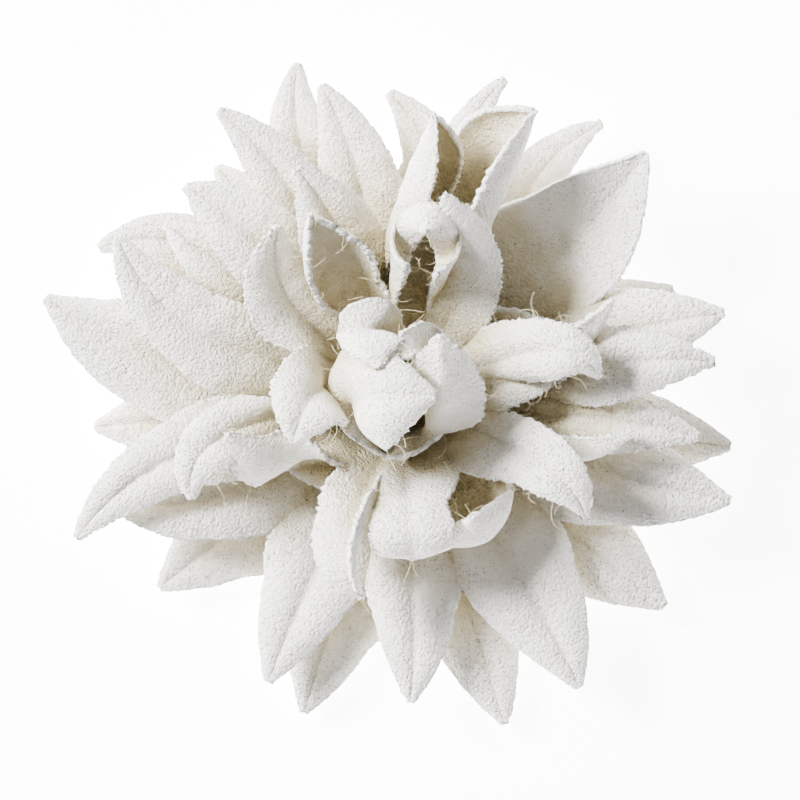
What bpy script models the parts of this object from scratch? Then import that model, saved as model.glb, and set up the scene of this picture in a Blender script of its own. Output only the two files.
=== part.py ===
# Giant paper flower: five one-piece rosettes of thick handmade paper, nested at their hubs.
# Metres, +Z up. The flower lies on its back: its flat hub underside is at z = 0.
import math

import bmesh
import bpy
from mathutils import Vector

MM = 0.001

# Driving dimensions (mm)
PAPER = 1.6            # thickness of the dried pulp sheet
HUB_GAP = 0.3          # clearance between two stacked hubs
ROWS = 9               # strips along a lobe
COLS = 3               # strips across half a lobe
WIDEST = 0.56          # where along a lobe it is widest
TIP_HALF = 0.9         # half width left at the very tip

# Shares of a lobe's length, 0 at the hub and 1 at the tip
FOLDED_BY = 0.40       # the cross-section has its full fold from here on
HUB_EASE = 0.30        # the lobe's foot has left the hub's round rim by here
TWIST_FROM, TWIST_TO = 0.10, 0.70
LEVEL_FROM, LEVEL_TO = 0.15, 0.55
SEAM_RELEASE = 0.25    # past a notch, the two edges let go of each other over this length
SEAM_BEND = 1.5        # how strongly the pull of a seam is kept to the lobe's edge
INNER_RING = 0.5       # radius of the hub's inner ring, as a share of its rim

SHEET = (0.86, 0.85, 0.82, 1.0)


def lobe(az, r, z, w, **more):
    """One lobe: tip azimuth (deg), tip radius and height (mm), half width (mm)."""
    shape = dict(base=az, aim=az, rise=None, dive=0.0, rib=40.0, left=-40.0, right=-40.0,
                 twist=0.0, level=0.0, push=0.42, pull=0.38, notch=None, taper=2.0, widest=WIDEST)
    shape.update(az=az, r=r, z=z, w=w)
    shape.update(more)
    return shape


# rise: slope where the lobe leaves the hub; dive: slope at its tip (deg, + is towards the viewer)
# rib: fold angle beside the midrib; left, right: angle of the sheet at the two edges
# base, aim: azimuth at the hub and of the tip's direction; push, pull: how long each end runs straight
# twist: roll about the midrib (deg, + lifts the left edge); level: 1 keeps the sheet's sides horizontal
SHEETS = [
    dict(name="sheet_1_back", hub=25.0, rise=6.0, notch=0.46, lobes=[
        lobe(-175, 112, 16, 16), lobe(-142, 112, 11, 18), lobe(-107, 120, 9, 18),
        lobe(-72, 125, 9, 17), lobe(-38, 123, 11, 19), lobe(-8, 122, 15, 17),
        lobe(22, 108, 12, 16), lobe(54, 125, 20, 11, aim=28),
        lobe(92, 112, 24, 12, base=76, aim=140, dive=10),
        lobe(107, 128, 24, 14, aim=80, dive=15), lobe(128, 108, 22, 15),
        lobe(153, 123, 22, 13, base=146, aim=200), lobe(162, 113, 16, 14, base=166),
    ]),
    dict(name="sheet_2", hub=20.0, rise=21.0, notch=0.42, lobes=[
        lobe(-161, 112, 34, 15, base=-150, aim=168), lobe(-115, 113, 25, 17, aim=-110),
        lobe(-88, 110, 24, 16, aim=-97), lobe(-58, 123, 26, 20, aim=-68),
        lobe(-17, 125, 30, 19, aim=-8), lobe(15, 121, 37, 18, aim=8),
        lobe(45, 125, 48, 24, dive=22, left=26, right=8, rib=20, aim=54),
        lobe(72, 122, 36, 8, aim=45),
        lobe(104, 117, 38, 15, aim=120, dive=12), lobe(122, 123, 42, 13, aim=143, dive=10),
        lobe(143, 106, 36, 15), lobe(164, 133, 38, 20, base=172, aim=143, dive=8),
    ]),
    dict(name="sheet_3", hub=16.0, rise=42.0, notch=0.38, lobes=[
        lobe(7, 113, 52, 15, aim=-4, dive=-14), lobe(-7, 108, 42, 13, aim=-14, dive=-8),
        lobe(-8, 84, 54, 13, base=-24, aim=45, dive=25, left=60, right=50, twist=-80),
        lobe(-58, 49, 58, 21, base=-56, dive=140, pull=0.62, left=60, right=60, rib=5,
             taper=4.0, widest=0.7),
        lobe(-112, 60, 40, 13, dive=10),
        lobe(-157, 126, 42, 13, base=-168, aim=-126, dive=-12),
        lobe(150, 117, 50, 15, base=163, aim=112, dive=8),
        lobe(135, 108, 54, 16, aim=150, taper=2.8), lobe(114, 90, 68, 16, aim=132, dive=30),
        lobe(83, 101, 66, 21, base=98, aim=62, rise=36, dive=35, left=95, right=95, rib=0, twist=58,
             taper=3.0, widest=0.76),
        lobe(65, 113, 66, 25, rise=34, dive=35, left=95, right=92, rib=0, twist=-58, taper=3.0, widest=0.76),
        lobe(25, 83, 66, 13, base=16, aim=75, dive=35, left=55, right=45, twist=-85),
    ]),
    dict(name="sheet_4", hub=12.0, rise=62.0, notch=0.34, lobes=[
        lobe(7, 71, 66, 12, base=18, aim=-55, dive=-40, left=-40, right=-70, level=1),
        lobe(10, 61, 50, 9, base=8, aim=14, dive=-5),
        lobe(-32, 78, 56, 12, base=-24, aim=-72, dive=-40, left=-35, right=-60, level=1),
        lobe(-85, 56, 56, 15, dive=-60, rib=20, left=-30, right=-30, taper=8.0, widest=0.8, level=1),
        lobe(-101, 71, 54, 13, base=-106, aim=-40, dive=-45, left=150, right=-40, rib=15, level=0.6),
        lobe(-155, 82, 56, 12, base=-172, aim=-80, dive=-25, level=1),
        lobe(-169, 62, 64, 13, base=-146, aim=118, dive=25, rib=0, left=45, right=30, twist=118),
        lobe(-159, 40, 76, 16, base=168, aim=-105, dive=-30, rib=35, left=-35, right=-35,
             taper=2.6, level=1),
        lobe(125, 75, 70, 16, base=138, aim=62, dive=40),
        lobe(116, 72, 80, 19, base=119, dive=75, left=95, right=80, rib=8, widest=0.7),
        lobe(81, 60, 84, 33, dive=155, pull=0.42, left=150, right=146, rib=6, widest=0.72, taper=5.0),
        lobe(78, 73, 79, 12, base=60, aim=130, dive=20, rib=5, left=-40, right=-45, level=1),
    ]),
    dict(name="sheet_5_bud", hub=7.0, rise=70.0, notch=0.30, lobes=[
        lobe(59, 26, 86, 17, base=-72, aim=100, dive=5, rib=-30, left=-30, right=-30,
             taper=3.0, level=1),
        lobe(7, 12, 87, 21, base=190, aim=0, dive=-12, pull=0.5, rib=25, left=-60, right=-62,
             taper=3.6, widest=0.55, level=1),
        lobe(124, 14, 87, 12, base=112, aim=-78, pull=0.34, taper=3.5, rib=5, left=-40, right=-40,
             level=1),
        lobe(112, 15, 82, 6, base=60, aim=215, taper=3.0, rib=0, left=20, right=20, level=1),
    ]),
]


def smooth(lo, hi, x):
    t = min(1.0, max(0.0, (x - lo) / (hi - lo)))
    return t * t * (3.0 - 2.0 * t)


def around(az, r, z):
    a = math.radians(az)
    return Vector((r * math.cos(a), r * math.sin(a), z))


def heading(az, el):
    a, e = math.radians(az), math.radians(el)
    return Vector((math.cos(a) * math.cos(e), math.sin(a) * math.cos(e), math.sin(e)))


def midrib(sheet, shape, z_hub, rows):
    """Points, tangents and side directions along one lobe's midrib."""
    rise = sheet["rise"] if shape["rise"] is None else shape["rise"]
    p0 = around(shape["base"], sheet["hub"], z_hub)
    p3 = around(shape["az"], shape["r"], shape["z"])
    span = (p3 - p0).length
    p1 = p0 + heading(shape["base"], rise) * span * shape["push"]
    p2 = p3 - heading(shape["aim"], shape["dive"]) * span * shape["pull"]
    side = around(shape["base"] + 90.0, 1.0, 0.0)
    out = []
    for i in range(rows + 1):
        v = i / rows
        q = 1.0 - v
        point = p0 * q ** 3 + p1 * 3 * q * q * v + p2 * 3 * q * v * v + p3 * v ** 3
        tan = (p1 - p0) * q * q + (p2 - p1) * 2 * q * v + (p3 - p2) * v * v
        tan.normalize()
        side = (side - tan * side.dot(tan)).normalized()
        flat = Vector((-tan.y, tan.x, 0.0)).normalized()
        share = shape["level"] * smooth(LEVEL_FROM, LEVEL_TO, v)
        out.append((point, tan, (side * (1.0 - share) + flat * share).normalized()))
    return out


def section(half, psi0, psi1, t):
    """Sideways run and lift of the sheet at fraction t of the half width."""
    a, d = math.radians(psi0), math.radians(psi1 - psi0)
    if abs(d) < 1e-4:
        return half * t * math.cos(a), half * t * math.sin(a)
    return (half * (math.sin(a + d * t) - math.sin(a)) / d,
            half * (math.cos(a) - math.cos(a + d * t)) / d)


def lobe_grid(sheet, shape, z_hub, left_deg, right_deg, rows, cols):
    """Grid of points: rows along the lobe, columns from the right edge to the left edge."""
    grid = []
    base_shift = None
    for i, (point, tan, side) in enumerate(midrib(sheet, shape, z_hub, rows)):
        v = i / rows
        turn = math.radians(shape["twist"]) * smooth(TWIST_FROM, TWIST_TO, v)
        normal = tan.cross(side)
        across = side * math.cos(turn) + normal * math.sin(turn)
        lift = tan.cross(across)
        shaped = smooth(0.0, FOLDED_BY, v)
        wide = shape["widest"]
        if v < wide:
            grow = smooth(0.0, wide, v)
        else:
            grow = 1.0 - ((v - wide) / (1.0 - wide)) ** shape["taper"]
        row = []
        for j in range(-cols, cols + 1):
            t = abs(j) / cols
            spread = left_deg if j > 0 else right_deg
            foot = sheet["hub"] * math.radians(spread)
            half = shape["w"] * grow + (foot * (1.0 - grow) if v < wide else TIP_HALF * (1.0 - grow))
            edge = shape["left"] if j > 0 else shape["right"]
            run, up = section(half, shape["rib"] * shaped, edge * shaped, t)
            row.append(point + across * (run if j > 0 else -run) + lift * up)
        if base_shift is None:
            base_shift = []
            for j in range(-cols, cols + 1):
                spread = left_deg if j > 0 else right_deg
                on_rim = around(shape["base"] + spread * j / cols, sheet["hub"], z_hub)
                base_shift.append(on_rim - row[j + cols])
        fade = 1.0 - smooth(0.0, HUB_EASE, v)
        grid.append([p + s * fade for p, s in zip(row, base_shift)])
    return grid


def rosette(sheet, z_hub, rows, cols):
    """Points and faces of one rosette; neighbours are one sheet up to the notch between them."""
    lobes = sorted(sheet["lobes"], key=lambda s: s["base"])
    n = len(lobes)
    gaps = []
    for k in range(n):
        step = (lobes[(k + 1) % n]["base"] - lobes[k]["base"]) % 360.0
        gaps.append(step / 2.0)
    grids = [lobe_grid(sheet, lobes[k], z_hub, gaps[k], gaps[k - 1], rows, cols) for k in range(n)]
    notch_rows = []
    for k in range(n):
        cut = lobes[k]["notch"] or sheet["notch"]
        notch_rows.append(max(1, round(cut * rows)))
    joined = []
    for k in range(n):
        left, right = grids[k], grids[(k + 1) % n]
        cut = notch_rows[k] / rows
        seam = []
        for i in range(rows + 1):
            middle = (left[i][2 * cols] + right[i][0]) / 2.0
            hold = 1.0 - smooth(cut, cut + SEAM_RELEASE, i / rows)
            seam.append((middle, hold))
        joined.append(seam)
    points, index = [], {}

    def number(k, i, j):
        if j == 2 * cols and i <= notch_rows[k]:
            k, j = (k + 1) % n, 0
        return index[(k, i, j)]

    for k in range(n):
        seam_l, seam_r = joined[k], joined[k - 1]
        for i in range(rows + 1):
            row = grids[k][i]
            pull_l = (seam_l[i][0] - row[2 * cols]) * seam_l[i][1]
            pull_r = (seam_r[i][0] - row[0]) * seam_r[i][1]
            for j in range(2 * cols + 1):
                if j == 2 * cols and i <= notch_rows[k]:
                    continue
                u = (j - cols) / cols
                weight = abs(u) ** SEAM_BEND
                index[(k, i, j)] = len(points)
                points.append(row[j] + (pull_l if u > 0 else pull_r) * weight)
    faces = []
    for k in range(n):
        for i in range(rows):
            for j in range(2 * cols):
                faces.append((number(k, i, j), number(k, i + 1, j),
                              number(k, i + 1, j + 1), number(k, i, j + 1)))
    rim = [number(k, 0, j) for k in range(n) for j in range(2 * cols)]
    ring = []
    for p in [points[a] for a in rim]:
        ring.append(len(points))
        points.append(Vector((p.x * INNER_RING, p.y * INNER_RING, z_hub)))
    centre = len(points)
    points.append(Vector((0.0, 0.0, z_hub)))
    for a in range(len(rim)):
        b = (a + 1) % len(rim)
        faces.append((rim[a], rim[b], ring[b], ring[a]))
        faces.append((ring[a], ring[b], centre))
    return points, faces


def make_sheet(sheet, z_hub, collection, material):
    points, faces = rosette(sheet, z_hub, ROWS, COLS)
    mesh = bpy.data.meshes.new(sheet["name"])
    bm = bmesh.new()
    verts = [bm.verts.new(p * MM) for p in points]
    for face in faces:
        bm.faces.new([verts[a] for a in face])
    bmesh.ops.recalc_face_normals(bm, faces=bm.faces)
    bm.to_mesh(mesh)
    bm.free()
    obj = bpy.data.objects.new(sheet["name"], mesh)
    collection.objects.link(obj)
    mesh.materials.append(material)
    paper = obj.modifiers.new("paper thickness", "SOLIDIFY")
    paper.thickness = PAPER * MM
    paper.offset = 0.0
    paper.use_even_offset = False
    return obj


for old in list(bpy.data.objects):
    bpy.data.objects.remove(old, do_unlink=True)

flower = bpy.data.collections.new("giant_paper_flower")
bpy.context.scene.collection.children.link(flower)

for level, sheet in enumerate(SHEETS):
    paper_material = bpy.data.materials.new("paper_" + sheet["name"])
    paper_material.use_nodes = True
    shader = paper_material.node_tree.nodes["Principled BSDF"]
    shader.inputs["Base Color"].default_value = SHEET
    shader.inputs["Roughness"].default_value = 0.9
    z_mid = PAPER / 2.0 + level * (PAPER + HUB_GAP)
    make_sheet(sheet, z_mid, flower, paper_material)
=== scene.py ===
# %% [markdown]
# # Giant paper flower
# The flower is a stack of five rosettes. Each one is a single sheet of thick handmade pulp paper,
# cut into lobes, creased along each lobe's midrib while damp, curled by hand and glued at its hub
# on the sheet behind it. The finished flower gets a white coat from the front, so the deep places
# keep the warm tan of the bare pulp, and they are also darkened with painted shade. The imported model gives
# the frame that everything sits in.

# %% Load the imported flower
import math
import random

import bpy
import numpy as np
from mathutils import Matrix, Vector, noise
from mathutils.bvhtree import BVHTree


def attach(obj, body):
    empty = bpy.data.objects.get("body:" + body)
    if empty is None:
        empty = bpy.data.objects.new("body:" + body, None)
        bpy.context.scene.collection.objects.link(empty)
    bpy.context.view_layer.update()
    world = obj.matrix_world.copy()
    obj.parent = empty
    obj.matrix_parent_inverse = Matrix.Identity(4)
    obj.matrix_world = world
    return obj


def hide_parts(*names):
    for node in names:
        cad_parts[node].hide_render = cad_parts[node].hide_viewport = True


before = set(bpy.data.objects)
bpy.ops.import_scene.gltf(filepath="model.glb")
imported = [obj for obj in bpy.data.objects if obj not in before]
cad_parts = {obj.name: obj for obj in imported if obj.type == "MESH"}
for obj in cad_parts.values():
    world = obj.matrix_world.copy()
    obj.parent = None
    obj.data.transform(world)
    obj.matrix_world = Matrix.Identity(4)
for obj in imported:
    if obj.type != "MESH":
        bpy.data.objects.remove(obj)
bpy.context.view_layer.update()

MM = 0.001

# %% [markdown]
# ## The viewpoint
# The flower lies on its back and is looked at straight from the front, from far enough away that
# the petals nearest the eye hardly grow. A long lens at a metre and a half does that.

# %% Camera
CAMERA_HEIGHT = 1.5
FACE_HEIGHT = 0.035          # the height in the flower that is seen at true scale
FRAME_WIDTH = 0.2896         # width of the view at that height
SENSOR = 36.0

camera_data = bpy.data.cameras.new("camera")
camera_data.sensor_width = SENSOR
camera_data.lens = SENSOR * (CAMERA_HEIGHT - FACE_HEIGHT) / FRAME_WIDTH
camera = bpy.data.objects.new("camera", camera_data)
camera.location = (0.0, 0.0, CAMERA_HEIGHT)
bpy.context.scene.collection.objects.link(camera)
bpy.context.scene.camera = camera
print("lens", round(camera_data.lens, 1))

# %% [markdown]
# ## The lobes, one line each
# A lobe is described the way a maker would: where its tip points, how far out and how high the
# tip is, and half its width. The other values bend it. `rise` is the slope where it leaves the hub
# and `dive` the slope at its tip, `aim` the compass direction of the tip, `rib` the fold beside the
# midrib, `left` and `right` the angle of the sheet at its two edges, and `twist` rolls the lobe about
# its own midrib. Past 90 degrees an edge rolls back over the lobe and makes a cup.

# %% Sheet sizes and lobe lists
PAPER = 1.6                  # thickness of the dried pulp sheet, mm
HUB_GAP = 0.3                # clearance between two stacked hubs, mm
ROWS = 130                   # steps along a lobe
COLS = 11                    # steps across half a lobe
WIDEST = 0.56
TIP_HALF = 0.9


def lobe(az, r, z, w, **more):
    """One lobe: tip azimuth (deg), tip radius and height (mm), half width (mm)."""
    shape = dict(base=az, aim=az, rise=None, dive=0.0, rib=40.0, left=-40.0, right=-40.0,
                 twist=0.0, level=0.0, push=0.42, pull=0.38, notch=None, taper=2.0, widest=WIDEST)
    shape.update(az=az, r=r, z=z, w=w)
    shape.update(more)
    return shape


SHEETS = [
    dict(name="sheet_1_back", hub=25.0, rise=6.0, notch=0.46, lobes=[
        lobe(-175, 112, 16, 16), lobe(-142, 112, 11, 18), lobe(-107, 120, 9, 18),
        lobe(-72, 125, 9, 17), lobe(-38, 123, 11, 19), lobe(-8, 122, 15, 17),
        lobe(22, 108, 12, 16), lobe(54, 125, 20, 11, aim=28),
        lobe(92, 112, 24, 12, base=76, aim=140, dive=10),
        lobe(107, 128, 24, 14, aim=80, dive=15), lobe(128, 108, 22, 15),
        lobe(153, 123, 22, 13, base=146, aim=200), lobe(162, 113, 16, 14, base=166),
    ]),
    dict(name="sheet_2", hub=20.0, rise=21.0, notch=0.42, lobes=[
        lobe(-161, 112, 34, 15, base=-150, aim=168), lobe(-115, 113, 25, 17, aim=-110),
        lobe(-88, 110, 24, 16, aim=-97), lobe(-58, 123, 26, 20, aim=-68),
        lobe(-17, 125, 30, 19, aim=-8), lobe(15, 121, 37, 18, aim=8),
        lobe(45, 125, 48, 24, dive=22, left=26, right=8, rib=20, aim=54),
        lobe(72, 122, 36, 8, aim=45),
        lobe(104, 117, 38, 15, aim=120, dive=12), lobe(122, 123, 42, 13, aim=143, dive=10),
        lobe(143, 106, 36, 15), lobe(164, 133, 38, 20, base=172, aim=143, dive=8),
    ]),
    dict(name="sheet_3", hub=16.0, rise=42.0, notch=0.38, lobes=[
        lobe(7, 113, 52, 15, aim=-4, dive=-14), lobe(-7, 108, 42, 13, aim=-14, dive=-8),
        lobe(-8, 84, 54, 13, base=-24, aim=45, dive=25, left=60, right=50, twist=-80),
        lobe(-58, 49, 58, 21, base=-56, dive=140, pull=0.62, left=60, right=60, rib=5,
             taper=4.0, widest=0.7),
        lobe(-112, 60, 40, 13, dive=10),
        lobe(-157, 126, 42, 13, base=-168, aim=-126, dive=-12),
        lobe(150, 117, 50, 15, base=163, aim=112, dive=8),
        lobe(135, 108, 54, 16, aim=150, taper=2.8), lobe(114, 90, 68, 16, aim=132, dive=30),
        lobe(83, 101, 66, 21, base=98, aim=62, rise=36, dive=35, left=95, right=95, rib=0, twist=58,
             taper=3.0, widest=0.76),
        lobe(65, 113, 66, 25, rise=34, dive=35, left=95, right=92, rib=0, twist=-58, taper=3.0, widest=0.76),
        lobe(25, 83, 66, 13, base=16, aim=75, dive=35, left=55, right=45, twist=-85),
    ]),
    dict(name="sheet_4", hub=12.0, rise=62.0, notch=0.34, lobes=[
        lobe(7, 71, 66, 12, base=18, aim=-55, dive=-40, left=-40, right=-70, level=1),
        lobe(10, 61, 50, 9, base=8, aim=14, dive=-5),
        lobe(-32, 78, 56, 12, base=-24, aim=-72, dive=-40, left=-35, right=-60, level=1),
        lobe(-85, 56, 56, 15, dive=-60, rib=20, left=-30, right=-30, taper=8.0, widest=0.8, level=1),
        lobe(-101, 71, 54, 13, base=-106, aim=-40, dive=-45, left=150, right=-40, rib=15, level=0.6),
        lobe(-155, 82, 56, 12, base=-172, aim=-80, dive=-25, level=1),
        lobe(-169, 62, 64, 13, base=-146, aim=118, dive=25, rib=0, left=45, right=30, twist=118),
        lobe(-159, 40, 76, 16, base=168, aim=-105, dive=-30, rib=35, left=-35, right=-35,
             taper=2.6, level=1),
        lobe(125, 75, 70, 16, base=138, aim=62, dive=40),
        lobe(116, 72, 80, 19, base=119, dive=75, left=95, right=80, rib=8, widest=0.7),
        lobe(81, 60, 84, 33, dive=155, pull=0.42, left=150, right=146, rib=6, widest=0.72, taper=5.0),
        lobe(78, 73, 79, 12, base=60, aim=130, dive=20, rib=5, left=-40, right=-45, level=1),
    ]),
    dict(name="sheet_5_bud", hub=7.0, rise=70.0, notch=0.30, lobes=[
        lobe(59, 26, 86, 17, base=-72, aim=100, dive=5, rib=-30, left=-30, right=-30,
             taper=3.0, level=1),
        lobe(7, 12, 87, 21, base=190, aim=0, dive=-12, pull=0.5, rib=25, left=-60, right=-62,
             taper=3.6, widest=0.55, level=1),
        lobe(124, 14, 87, 12, base=112, aim=-78, pull=0.34, taper=3.5, rib=5, left=-40, right=-40,
             level=1),
        lobe(112, 15, 82, 6, base=60, aim=215, taper=3.0, rib=0, left=20, right=20, level=1),
    ]),
]
print("lobes per sheet", [len(sheet["lobes"]) for sheet in SHEETS])

# %% [markdown]
# ## Bending one lobe
# The midrib is a smooth curve from the hub to the tip. A side direction is carried along it without
# spinning, and the sheet is laid out to both sides as an arc. That is what a creased strip of damp
# paper does between two fingers, and it keeps the sheet's width true however far it rolls.

# %% Midrib and cross-section
def smooth(lo, hi, x):
    t = np.clip((x - lo) / (hi - lo), 0.0, 1.0)
    return t * t * (3.0 - 2.0 * t)


def around(az, r, z):
    a = math.radians(az)
    return np.array((r * math.cos(a), r * math.sin(a), z))


def heading(az, el):
    a, e = math.radians(az), math.radians(el)
    return np.array((math.cos(a) * math.cos(e), math.sin(a) * math.cos(e), math.sin(e)))


def midrib(sheet, shape, z_hub, rows):
    rise = sheet["rise"] if shape["rise"] is None else shape["rise"]
    p0 = around(shape["base"], sheet["hub"], z_hub)
    p3 = around(shape["az"], shape["r"], shape["z"])
    span = np.linalg.norm(p3 - p0)
    p1 = p0 + heading(shape["base"], rise) * span * shape["push"]
    p2 = p3 - heading(shape["aim"], shape["dive"]) * span * shape["pull"]
    side = around(shape["base"] + 90.0, 1.0, 0.0)
    out = []
    for v in np.linspace(0.0, 1.0, rows + 1):
        q = 1.0 - v
        point = p0 * q ** 3 + p1 * 3 * q * q * v + p2 * 3 * q * v * v + p3 * v ** 3
        tan = (p1 - p0) * q * q + (p2 - p1) * 2 * q * v + (p3 - p2) * v * v
        tan = tan / np.linalg.norm(tan)
        side = side - tan * side.dot(tan)
        side = side / np.linalg.norm(side)
        flat = np.array((-tan[1], tan[0], 0.0)) / max(math.hypot(tan[0], tan[1]), 1e-6)
        share = shape["level"] * float(smooth(0.15, 0.55, v))
        across = side * (1.0 - share) + flat * share
        out.append((v, point, tan, across / np.linalg.norm(across)))
    return out


def section(half, psi0, psi1, t):
    """Sideways run and lift of the sheet at fraction t of the half width."""
    a, d = math.radians(psi0), math.radians(psi1 - psi0)
    if abs(d) < 1e-4:
        return half * t * math.cos(a), half * t * math.sin(a)
    return (half * (np.sin(a + d * t) - math.sin(a)) / d,
            half * (math.cos(a) - np.cos(a + d * t)) / d)


# %% Columns crowd towards the torn edges, where the detail is
EDGE_CROWD = 1.35
across_steps = [1.0 - (1.0 - j / COLS) ** EDGE_CROWD for j in range(COLS + 1)]
COLUMN = np.array([-t for t in across_steps[:0:-1]] + across_steps)


def lobe_grid(sheet, shape, z_hub, left_deg, right_deg):
    """Grid [row, column, xyz] of one lobe before it is joined to its neighbours."""
    grid = np.zeros((ROWS + 1, len(COLUMN), 3))
    t = np.abs(COLUMN)
    on_left = COLUMN > 0
    foot = sheet["hub"] * np.radians(np.where(on_left, left_deg, right_deg))
    wide = shape["widest"]
    first_shift = None
    for i, (v, point, tan, side) in enumerate(midrib(sheet, shape, z_hub, ROWS)):
        turn = math.radians(shape["twist"]) * float(smooth(0.1, 0.7, v))
        across = side * math.cos(turn) + np.cross(tan, side) * math.sin(turn)
        lift = np.cross(tan, across)
        shaped = float(smooth(0.0, 0.40, v))
        if v < wide:
            grow = float(smooth(0.0, wide, v))
            half = shape["w"] * grow + foot * (1.0 - grow)
        else:
            grow = 1.0 - ((v - wide) / (1.0 - wide)) ** shape["taper"]
            half = shape["w"] * grow + TIP_HALF * (1.0 - grow)
        run_l, up_l = section(half, shape["rib"] * shaped, shape["left"] * shaped, t)
        run_r, up_r = section(half, shape["rib"] * shaped, shape["right"] * shaped, t)
        run = np.where(on_left, run_l, -run_r)
        up = np.where(on_left, up_l, up_r)
        row = point + run[:, None] * across + up[:, None] * lift
        if first_shift is None:
            spread = np.where(on_left, left_deg, right_deg) * COLUMN
            rim = np.array([around(shape["base"] + s, sheet["hub"], z_hub) for s in spread])
            first_shift = rim - row
        grid[i] = row + first_shift * (1.0 - float(smooth(0.0, 0.3, v)))
    return grid


# %% [markdown]
# ## One rosette from one sheet
# Neighbouring lobes are the same paper up to the notch between them, so both edges are drawn
# towards the line half way between them there, and let go beyond it. Each lobe starts as a flat grid,
# like a strip of paper, and its points are then moved to the bent shape. The strips are joined and
# their shared edges merged, and the hub is filled inwards from its rim.

# %% Join the lobes
def rosette_grids(sheet, z_hub):
    lobes = sorted(sheet["lobes"], key=lambda s: s["base"])
    n = len(lobes)
    gaps = [((lobes[(k + 1) % n]["base"] - lobes[k]["base"]) % 360.0) / 2.0 for k in range(n)]
    grids = [lobe_grid(sheet, lobes[k], z_hub, gaps[k], gaps[k - 1]) for k in range(n)]
    v = np.linspace(0.0, 1.0, ROWS + 1)
    cuts = [lobes[k]["notch"] or sheet["notch"] for k in range(n)]
    notch_rows = [round(c * ROWS) for c in cuts]
    seams = []
    for k in range(n):
        middle = (grids[k][:, -1] + grids[(k + 1) % n][:, 0]) / 2.0
        hold = 1.0 - smooth(notch_rows[k] / ROWS, notch_rows[k] / ROWS + 0.25, v)
        seams.append((middle, hold))
    joined = []
    for k in range(n):
        weight = np.abs(COLUMN) ** 1.5
        to_left = (seams[k][0] - grids[k][:, -1]) * seams[k][1][:, None]
        to_right = (seams[k - 1][0] - grids[k][:, 0]) * seams[k - 1][1][:, None]
        pull = np.where((COLUMN > 0)[None, :, None], to_left[:, None], to_right[:, None])
        joined.append(grids[k] + pull * weight[None, :, None])
    return joined, notch_rows


# %% Tear the edges
DECKLE = 0.55                # how far the torn edge wanders, mm
CHIP = 0.3                   # how far single fibre bundles stand out of it, mm
RAGGED = (0.5, 0.6, 1.1, 1.4, 1.4)      # how ragged each sheet was torn, back to front


def tear(joined, notch_rows, seed, ragged):
    """Wanders each free edge in and out within the sheet."""
    chips = random.Random(seed)
    out = []
    for k, grid in enumerate(joined):
        grid = grid.copy()
        for side_col, inner_col, notch in ((-1, -3, notch_rows[k]), (0, 2, notch_rows[k - 1])):
            away = grid[:, side_col] - grid[:, inner_col]
            length = np.linalg.norm(away, axis=1)
            away = away / np.maximum(length, 1e-6)[:, None]
            for i in range(notch + 1, ROWS + 1):
                p = grid[i, side_col]
                here = Vector(p) * 0.55 + Vector((seed * 17.0, k * 5.0, side_col * 3.0))
                fine = Vector(p) * 1.3 + Vector((k * 7.0, seed * 11.0, 0.0))
                step = noise.noise(here) * 0.9 + noise.noise(fine) * 0.8
                step = step * DECKLE + chips.uniform(-CHIP, CHIP)
                step *= ragged * min(1.0, (i - notch) / 4.0)
                grid[i, side_col] = p + away[i] * step
                near = 1 if side_col == 0 else -2
                grid[i, near] += away[i] * step * 0.6
        out.append(grid)
    return out


# %% Build a rosette's open surface
def open_sheet(sheet, level):
    z_hub = PAPER / 2.0 + level * (PAPER + HUB_GAP)
    joined, notch_rows = rosette_grids(sheet, z_hub)
    joined = tear(joined, notch_rows, level + 1, RAGGED[level])
    strips = []
    across = len(COLUMN) - 1
    for k, grid in enumerate(joined):
        bpy.ops.object.select_all(action="DESELECT")
        bpy.ops.mesh.primitive_grid_add(x_subdivisions=across, y_subdivisions=ROWS, size=1.0)
        strip = bpy.context.object
        strip.name = "%s_lobe_%d" % (sheet["name"], k)
        strip.data.vertices.foreach_set("co", (grid * MM).reshape(-1))
        strips.append(strip)
    bpy.ops.object.select_all(action="DESELECT")
    for strip in strips:
        strip.select_set(True)
    bpy.context.view_layer.objects.active = strips[0]
    bpy.ops.object.join()
    piece = bpy.context.object
    piece.name = "paper_" + sheet["name"]
    bpy.ops.object.mode_set(mode="EDIT")
    bpy.ops.mesh.select_all(action="SELECT")
    bpy.ops.mesh.remove_doubles(threshold=0.00001)
    bpy.ops.mesh.select_all(action="DESELECT")
    bpy.ops.object.mode_set(mode="OBJECT")
    close_hub(piece, sheet["hub"] * MM, z_hub * MM)
    dent(piece, sheet["hub"] * MM, level)
    return piece


# %% Dents from drying
DENT = 0.25                  # how far the hand-pressed surface wanders, mm
LUMPS = ((0.13, 1.6), (0.33, 0.7), (0.8, 0.35))     # lumps per mm and their share of the dent


def dent(piece, hub, seed):
    """Pushes the sheet in and out along its own normals, as damp pulp does when it dries."""
    normals = [vert.normal.copy() for vert in piece.data.vertices]
    shift = Vector((seed * 31.0, seed * 13.0, seed * 7.0))
    for vert, normal in zip(piece.data.vertices, normals):
        ease = min(1.0, max(0.0, (vert.co.xy.length - hub) / (4.0 * MM)))
        place = vert.co / MM
        push = sum(noise.noise(place * rate + shift) * share for rate, share in LUMPS)
        vert.co += normal * push * DENT * MM * ease


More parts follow.
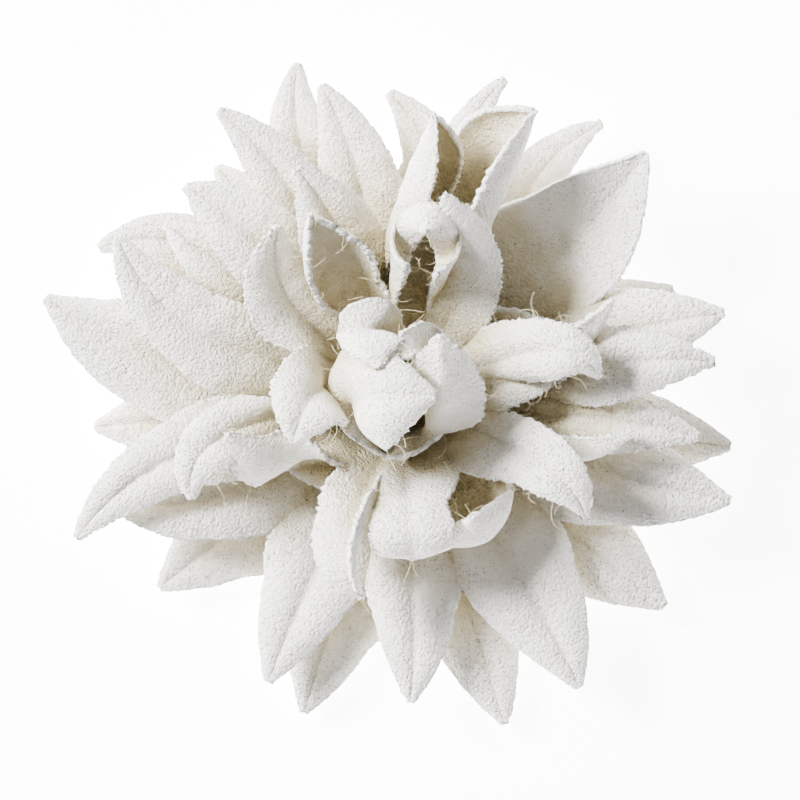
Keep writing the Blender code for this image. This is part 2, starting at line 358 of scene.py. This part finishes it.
def close_hub(piece, hub, z_hub):
    """Fills the hub from its rim to its middle."""
    mesh = piece.data
    rim = [abs(math.hypot(v.co.x, v.co.y) - hub) < 2e-5 and abs(v.co.z - z_hub) < 2e-5
           for v in mesh.vertices]
    bpy.ops.object.mode_set(mode="EDIT")
    bpy.ops.mesh.select_mode(type="EDGE")
    bpy.ops.mesh.select_all(action="DESELECT")
    bpy.ops.object.mode_set(mode="OBJECT")
    for edge in mesh.edges:
        edge.select = rim[edge.vertices[0]] and rim[edge.vertices[1]]
    bpy.ops.object.mode_set(mode="EDIT")
    for shrink in (0.66, 0.5):
        bpy.ops.mesh.extrude_edges_move()
        bpy.ops.transform.resize(value=(shrink, shrink, 1.0), center_override=(0.0, 0.0, z_hub))
    bpy.ops.mesh.extrude_edges_move()
    bpy.ops.mesh.merge(type="CENTER")
    bpy.ops.mesh.select_all(action="SELECT")
    bpy.ops.mesh.normals_make_consistent(inside=False)
    bpy.ops.object.mode_set(mode="OBJECT")


# %% [markdown]
# ## Paper thickness and torn rims
# Pulp paper is thick in the middle and feathers out at a torn edge. A vertex group tells the
# Solidify modifier to thin the sheet there, and a fine crumble is then pushed into the rim.

# %% Thicken
RIM_THIN = 0.95              # the torn rim's share of the full thickness
CRUMBLE = 0.6               # crumbs pushed into the rim, mm
CRUMB_RATE = 0.95            # crumbs per mm
BEAD = 0.5                   # how far the fluffed rim stands proud of the sheet, mm


def thicken(piece, ragged):
    mesh = piece.data
    count = {}
    for poly in mesh.polygons:
        for key in poly.edge_keys:
            count[key] = count.get(key, 0) + 1
    rim = {a for key, c in count.items() if c == 1 for a in key}
    near = set(rim)
    for edge in mesh.edges:
        a, b = edge.vertices
        if a in rim or b in rim:
            near.update((a, b))
    body = piece.vertex_groups.new(name="body")
    body.add([v.index for v in mesh.vertices if v.index not in near], 1.0, "REPLACE")
    body.add([i for i in near if i not in rim], 0.9, "REPLACE")
    body.add(sorted(rim), 0.0, "REPLACE")
    thickness = piece.modifiers.new("paper thickness", "SOLIDIFY")
    thickness.thickness = PAPER * MM
    thickness.offset = 0.0
    thickness.use_even_offset = False
    thickness.vertex_group = "body"
    thickness.thickness_vertex_group = RIM_THIN
    bpy.ops.object.select_all(action="DESELECT")
    piece.select_set(True)
    bpy.context.view_layer.objects.active = piece
    bpy.ops.object.modifier_apply(modifier=thickness.name)
    bpy.ops.object.shade_smooth()
    crumble(piece, ragged)
    return piece


def crumble(piece, ragged):
    """Breaks the rim up into crumbs and stores how near each point is to it."""
    mesh = piece.data
    torn = np.zeros(len(mesh.vertices))
    normals = [vert.normal.copy() for vert in mesh.vertices]
    for vert in mesh.vertices:
        torn[vert.index] = 1.0 - (vert.groups[0].weight if vert.groups else 0.0)
        if torn[vert.index] > 0.05:
            place = vert.co / MM * CRUMB_RATE
            amount = CRUMBLE * MM * ragged * (1.0 if torn[vert.index] > 0.5 else 0.5)
            vert.co += noise.noise_vector(place) * amount
            vert.co += normals[vert.index] * BEAD * MM * torn[vert.index]
    mesh.attributes.new("torn", "FLOAT", "POINT").data.foreach_set("value", torn)


papers = [thicken(open_sheet(sheet, level), RAGGED[level]) for level, sheet in enumerate(SHEETS)]
for paper in papers:
    print(paper.name, len(paper.data.vertices), "points", len(paper.data.polygons), "faces")

# %% [markdown]
# ## Where the white coat reached, and painted shade
# The coat lands where the surface can see out. For each point a few rays go out over the side it
# faces; the share that gets away is stored on the point, and the finish mixes white and bare pulp by it.
# The tan this leaves in closed places is partly the bare pulp and partly painted shade.

# %% Coat and painted shade attribute
REACH = 0.045                # metres that a ray looks
RAYS = 10


def hemisphere(count):
    turn = math.pi * (3.0 - math.sqrt(5.0))
    out = []
    for i in range(count):
        up = 0.95 - 0.80 * i / (count - 1)
        r = math.sqrt(1.0 - up * up)
        out.append((r * math.cos(turn * i), r * math.sin(turn * i), up))
    return out


def flower_tree():
    verts, polys = [], []
    for paper in papers:
        base = len(verts)
        co = np.zeros(len(paper.data.vertices) * 3)
        paper.data.vertices.foreach_get("co", co)
        verts.extend(map(tuple, co.reshape(-1, 3)))
        polys.extend([base + a for a in p.vertices] for p in paper.data.polygons)
    return BVHTree.FromPolygons(verts, polys)


# Stores how open each point is; the finish turns this into white coat or tan, and the tan is partly painted
# shade.
def store_coat_and_shade(paper, tree):
    mesh = paper.data
    directions = [Vector(d) for d in hemisphere(RAYS)]
    value = np.zeros(len(mesh.vertices))
    for vert in mesh.vertices:
        normal = vert.normal
        turn = normal.to_track_quat("Z", "Y").to_matrix()
        start = vert.co + normal * 0.0004
        free = 0
        for d in directions:
            if tree.ray_cast(start, turn @ d, REACH)[0] is None:
                free += 1
        value[vert.index] = free / RAYS
    ends = np.array([tuple(e.vertices) for e in mesh.edges])
    for _ in range(4):
        total = value.copy()
        share = np.ones(len(value))
        np.add.at(total, ends[:, 0], value[ends[:, 1]])
        np.add.at(total, ends[:, 1], value[ends[:, 0]])
        np.add.at(share, ends[:, 0], 1.0)
        np.add.at(share, ends[:, 1], 1.0)
        value = total / share
    layer = mesh.attributes.new("coat", "FLOAT", "POINT")
    layer.data.foreach_set("value", value)
    return float(value.mean())


tree = flower_tree()
for paper in papers:
    print(paper.name, "mean coat", round(store_coat_and_shade(paper, tree), 2))

# %% [markdown]
# ## The finish: white-coated mulberry pulp paper
# The sheet was cast on a mesh and air-dried, so it is dead matt and pitted, with a grain of about a
# millimetre. The white coat sits on the high places. Bare pulp, warm and tan, shows in the folds
# and in the pits, with a few dark bark specks. The tan in the folds is partly painted shade, the deepest
# folds are painted darker still as shade, and the torn rims are painted lighter, partly as a painted
# highlight.

# %% Colours and the node helper
def hex_colour(code):
    """sRGB hex to linear RGBA."""
    parts = [int(code[i:i + 2], 16) / 255.0 for i in (0, 2, 4)]
    lin = [c / 12.92 if c <= 0.04045 else ((c + 0.055) / 1.055) ** 2.4 for c in parts]
    return (*lin, 1.0)


WHITE_COAT = "f2efe8"
# Torn rim colour: partly the white coat gathered on the edge, partly a painted highlight.
RIM_WHITE_AND_HIGHLIGHT = "fcfbf8"
BARE_PULP = "cabf9f"
# Painted shade colour for the deepest folds.
DEEP_FOLD_SHADE = "8f8462"
PIT = "857962"
BARK = "54402f"
FIBRE = "d9ccaa"


def add(tree, kind, settings=None, **links):
    """Adds one node, sets its properties and inputs, and links what is given."""
    node = tree.nodes.new(kind)
    for key, value in (settings or {}).items():
        setattr(node, key, value)
    for key, value in links.items():
        socket = node.inputs[int(key[1:])] if key[0] == "i" and key[1:].isdigit() else node.inputs[key]
        if isinstance(value, bpy.types.NodeSocket):
            tree.links.new(value, socket)
        else:
            socket.default_value = value
    return node


# %% Pulp paper material
PIT_SPACING = 1.25           # mm between pits
PIN_SPACING = 0.7            # mm between pin holes, drawn a little coarser than they are
SPECK_SPACING = 5.0          # mm between cells that may hold a bark speck
GRAIN = 0.9                  # mm, fine pulp grain
CRUMB = 1.4                  # mm, rounded crumbs of pulp


def cell_dots(tree, place, spacing, small, large, share):
    """Round dots of 1 in a share of the cells of a jittered net, 0 elsewhere."""
    cells = add(tree, "ShaderNodeTexVoronoi", None, Vector=place, Scale=1 / (spacing * MM))
    dot = add(tree, "ShaderNodeMapRange", None, Value=cells.outputs["Distance"],
              i1=small, i2=large, i3=1.0, i4=0.0)
    pick = add(tree, "ShaderNodeSeparateColor", None, i0=cells.outputs["Color"])
    some = add(tree, "ShaderNodeMath", {"operation": "LESS_THAN"}, i0=pick.outputs[0], i1=share)
    return add(tree, "ShaderNodeMath", {"operation": "MULTIPLY"},
               i0=dot.outputs[0], i1=some.outputs[0]).outputs[0]


def blend_colour(tree, amount, strength, under, code):
    """Lays a colour over another by an amount times a strength."""
    share = add(tree, "ShaderNodeMath", {"operation": "MULTIPLY"}, i0=amount, i1=strength)
    return add(tree, "ShaderNodeMix", {"data_type": "RGBA"}, i0=share.outputs[0],
               i6=under, i7=hex_colour(code)).outputs[2]


def pulp_paper(name):
    material = bpy.data.materials.new(name)
    material.use_nodes = True
    tree = material.node_tree
    shader = tree.nodes["Principled BSDF"]
    shader.inputs["Roughness"].default_value = 0.92
    shader.inputs["Specular IOR Level"].default_value = 0.2
    place = add(tree, "ShaderNodeTexCoord").outputs["Object"]
    coat = add(tree, "ShaderNodeAttribute", {"attribute_name": "coat"}).outputs["Fac"]
    torn = add(tree, "ShaderNodeAttribute", {"attribute_name": "torn"}).outputs["Fac"]
    patch = add(tree, "ShaderNodeTexNoise", None, Vector=place, Scale=1 / (9 * MM), Detail=3.0)
    uneven = add(tree, "ShaderNodeMath", {"operation": "MULTIPLY_ADD"},
                 i0=patch.outputs["Fac"], i1=0.26, i2=coat)
    coat_and_shade_level = add(tree, "ShaderNodeMath", {"operation": "MULTIPLY_ADD"},
                 i0=torn, i1=0.30, i2=uneven.outputs[0])
    # White coat where the point is open, tan where it is closed: partly bare pulp and partly painted shade.
    coat_and_shade_mix = add(tree, "ShaderNodeMapRange", {"interpolation_type": "SMOOTHSTEP"},
                Value=coat_and_shade_level.outputs[0], i1=0.30, i2=0.95, i3=0.0, i4=1.0)
    colour = add(tree, "ShaderNodeMix", {"data_type": "RGBA"}, i0=coat_and_shade_mix.outputs[0],
                 i6=hex_colour(BARE_PULP), i7=hex_colour(WHITE_COAT)).outputs[2]
    # Painted shade: the least open places are darkened further.
    fold_shade = add(tree, "ShaderNodeMapRange", {"interpolation_type": "SMOOTHSTEP"},
                 Value=coat_and_shade_level.outputs[0], i1=0.12, i2=0.45, i3=1.0, i4=0.0).outputs[0]
    colour = blend_colour(tree, fold_shade, 0.75, colour, DEEP_FOLD_SHADE)
    # Torn rims painted lighter: partly the coat gathered there, partly a painted highlight.
    colour = blend_colour(tree, torn, 0.8, colour, RIM_WHITE_AND_HIGHLIGHT)
    pits = cell_dots(tree, place, PIT_SPACING, 0.15, 0.30, 0.55)
    pins = cell_dots(tree, place, PIN_SPACING, 0.20, 0.36, 0.30)
    crowd = add(tree, "ShaderNodeTexNoise", None, Vector=place, Scale=1 / (16 * MM), Detail=2.0)
    where = add(tree, "ShaderNodeMapRange", None, Value=crowd.outputs["Fac"],
                i1=0.36, i2=0.60, i3=0.25, i4=1.0).outputs[0]
    holes = add(tree, "ShaderNodeMath", {"operation": "MAXIMUM"}, i0=pits, i1=pins).outputs[0]
    holes = add(tree, "ShaderNodeMath", {"operation": "MULTIPLY"}, i0=holes, i1=where).outputs[0]
    colour = blend_colour(tree, holes, 0.68, colour, PIT)
    specks = cell_dots(tree, place, SPECK_SPACING, 0.05, 0.08, 0.40)
    colour = blend_colour(tree, specks, 0.9, colour, BARK)
    tree.links.new(colour, shader.inputs["Base Color"])
    grain = add(tree, "ShaderNodeTexNoise", None, Vector=place, Scale=1 / (GRAIN * MM), Detail=4.0)
    crumbs = add(tree, "ShaderNodeTexVoronoi", None, Vector=place, Scale=1 / (CRUMB * MM))
    dome = add(tree, "ShaderNodeMath", {"operation": "POWER"}, i0=crumbs.outputs["Distance"], i1=2.0)
    relief = add(tree, "ShaderNodeMath", {"operation": "MULTIPLY_ADD"},
                 i0=dome.outputs[0], i1=-0.6, i2=grain.outputs["Fac"])
    relief = add(tree, "ShaderNodeMath", {"operation": "MULTIPLY_ADD"},
                 i0=holes, i1=-0.6, i2=relief.outputs[0])
    bump = add(tree, "ShaderNodeBump", None, Strength=1.0, Distance=0.85 * MM,
               Height=relief.outputs[0])
    tree.links.new(bump.outputs[0], shader.inputs["Normal"])
    return material


for paper, sheet in zip(papers, SHEETS):
    paper.data.materials.clear()
    paper.data.materials.append(pulp_paper("white coated pulp paper, " + sheet["name"]))
    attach(paper, "root")
    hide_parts(sheet["name"])

# %% [markdown]
# ## Loose bast fibres
# Long fibres of the mulberry bark stick out of torn edges and bridge the folds. Each is a thin hair
# that leaves the paper at a rim point and curls as it dries. They are drawn as four-sided threads.

# %% Fibres
FIBRES = 560
FIBRE_HALF = 0.085           # half thickness, mm, a little more than the real one's so that it shows
FIBRE_STEPS = 7


def fibre_path(start, normal, draw):
    """A curling hair from a rim point, in metres."""
    way = (normal + Vector([draw.uniform(-1.0, 1.0) for _ in range(3)])).normalized()
    curl = Vector([draw.uniform(-1.0, 1.0) for _ in range(3)]).normalized()
    stride = draw.uniform(3.0, 14.0) / FIBRE_STEPS * MM
    turn = draw.uniform(0.15, 0.6)
    points = [start - way * stride * 0.3]
    for _ in range(FIBRE_STEPS):
        points.append(points[-1] + way * stride)
        way = (way + way.cross(curl) * turn).normalized()
        curl = (curl + Vector([draw.uniform(-0.5, 0.5) for _ in range(3)])).normalized()
    return points


def bast_fibres():
    draw = random.Random(11)
    curve = bpy.data.curves.new("bast_fibres", "CURVE")
    curve.dimensions = "3D"
    curve.bevel_depth = FIBRE_HALF * MM
    curve.bevel_resolution = 0
    curve.use_fill_caps = True
    roots = []
    for paper in papers[1:]:
        torn = np.zeros(len(paper.data.vertices))
        paper.data.attributes["torn"].data.foreach_get("value", torn)
        for index in np.flatnonzero(torn > 0.5):
            vert = paper.data.vertices[int(index)]
            if vert.co.xy.length < 75 * MM:
                roots.append(vert)
    for _ in range(FIBRES):
        root = draw.choice(roots)
        path = fibre_path(root.co.copy(), root.normal.copy(), draw)
        line = curve.splines.new("POLY")
        line.points.add(len(path) - 1)
        for point, place in zip(line.points, path):
            point.co = (place.x, place.y, max(place.z, 0.5 * MM), 1.0)
    piece = bpy.data.objects.new("bast_fibres", curve)
    bpy.context.scene.collection.objects.link(piece)
    bpy.ops.object.select_all(action="DESELECT")
    piece.select_set(True)
    bpy.context.view_layer.objects.active = piece
    bpy.ops.object.convert(target="MESH")
    bpy.ops.object.mode_set(mode="EDIT")
    bpy.ops.mesh.select_all(action="SELECT")
    bpy.ops.mesh.remove_doubles(threshold=0.000001)
    bpy.ops.mesh.normals_make_consistent(inside=False)
    bpy.ops.object.mode_set(mode="OBJECT")
    return bpy.context.object


def bast():
    """Dry bark fibre: pale straw, slightly glossy along its length."""
    material = bpy.data.materials.new("dry mulberry bast")
    material.use_nodes = True
    tree = material.node_tree
    shader = tree.nodes["Principled BSDF"]
    shader.inputs["Roughness"].default_value = 0.6
    place = add(tree, "ShaderNodeTexCoord").outputs["Object"]
    shade = add(tree, "ShaderNodeTexNoise", None, Vector=place, Scale=1 / (7 * MM), Detail=1.0)
    colour = add(tree, "ShaderNodeMix", {"data_type": "RGBA"}, i0=shade.outputs["Fac"],
                 i6=hex_colour(BARE_PULP), i7=hex_colour(FIBRE))
    tree.links.new(colour.outputs[2], shader.inputs["Base Color"])
    return material


fibres = bast_fibres()
fibres.data.materials.append(bast())
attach(fibres, "root")
print("fibres", FIBRES, "triangles", sum(len(p.vertices) - 2 for p in fibres.data.polygons))

# %% [markdown]
# ## Floor and light
# A pale board under the flower and soft window-like light from the upper left, with a broad
# fill so that the folds stay open.

# %% Floor
bpy.ops.object.select_all(action="DESELECT")
bpy.ops.mesh.primitive_plane_add(size=6.0, location=(0.0, 0.0, 0.0))
floor = bpy.context.object
floor.name = "floor"
board = bpy.data.materials.new("white board")
board.use_nodes = True
board_shader = board.node_tree.nodes["Principled BSDF"]
board_shader.inputs["Base Color"].default_value = hex_colour("ffffff")
board_shader.inputs["Roughness"].default_value = 1.0
board_shader.inputs["Emission Color"].default_value = (1.0, 1.0, 1.0, 1.0)
board_shader.inputs["Emission Strength"].default_value = 9.0
floor.data.materials.append(board)

# %% Lights
world = bpy.data.worlds.new("studio")
bpy.context.scene.world = world
world.use_nodes = True
world.node_tree.nodes["Background"].inputs["Color"].default_value = (1.0, 1.0, 1.0, 1.0)
world.node_tree.nodes["Background"].inputs["Strength"].default_value = 0.35


def soft_light(name, place, size, power):
    data = bpy.data.lights.new(name, "AREA")
    data.size = size
    data.energy = power
    light = bpy.data.objects.new(name, data)
    light.location = place
    light.rotation_euler = (-Vector(place)).to_track_quat("-Z", "Y").to_euler()
    bpy.context.scene.collection.objects.link(light)
    return light


soft_light("window", (-0.94, 0.50, 0.92), 0.45, 118.0)
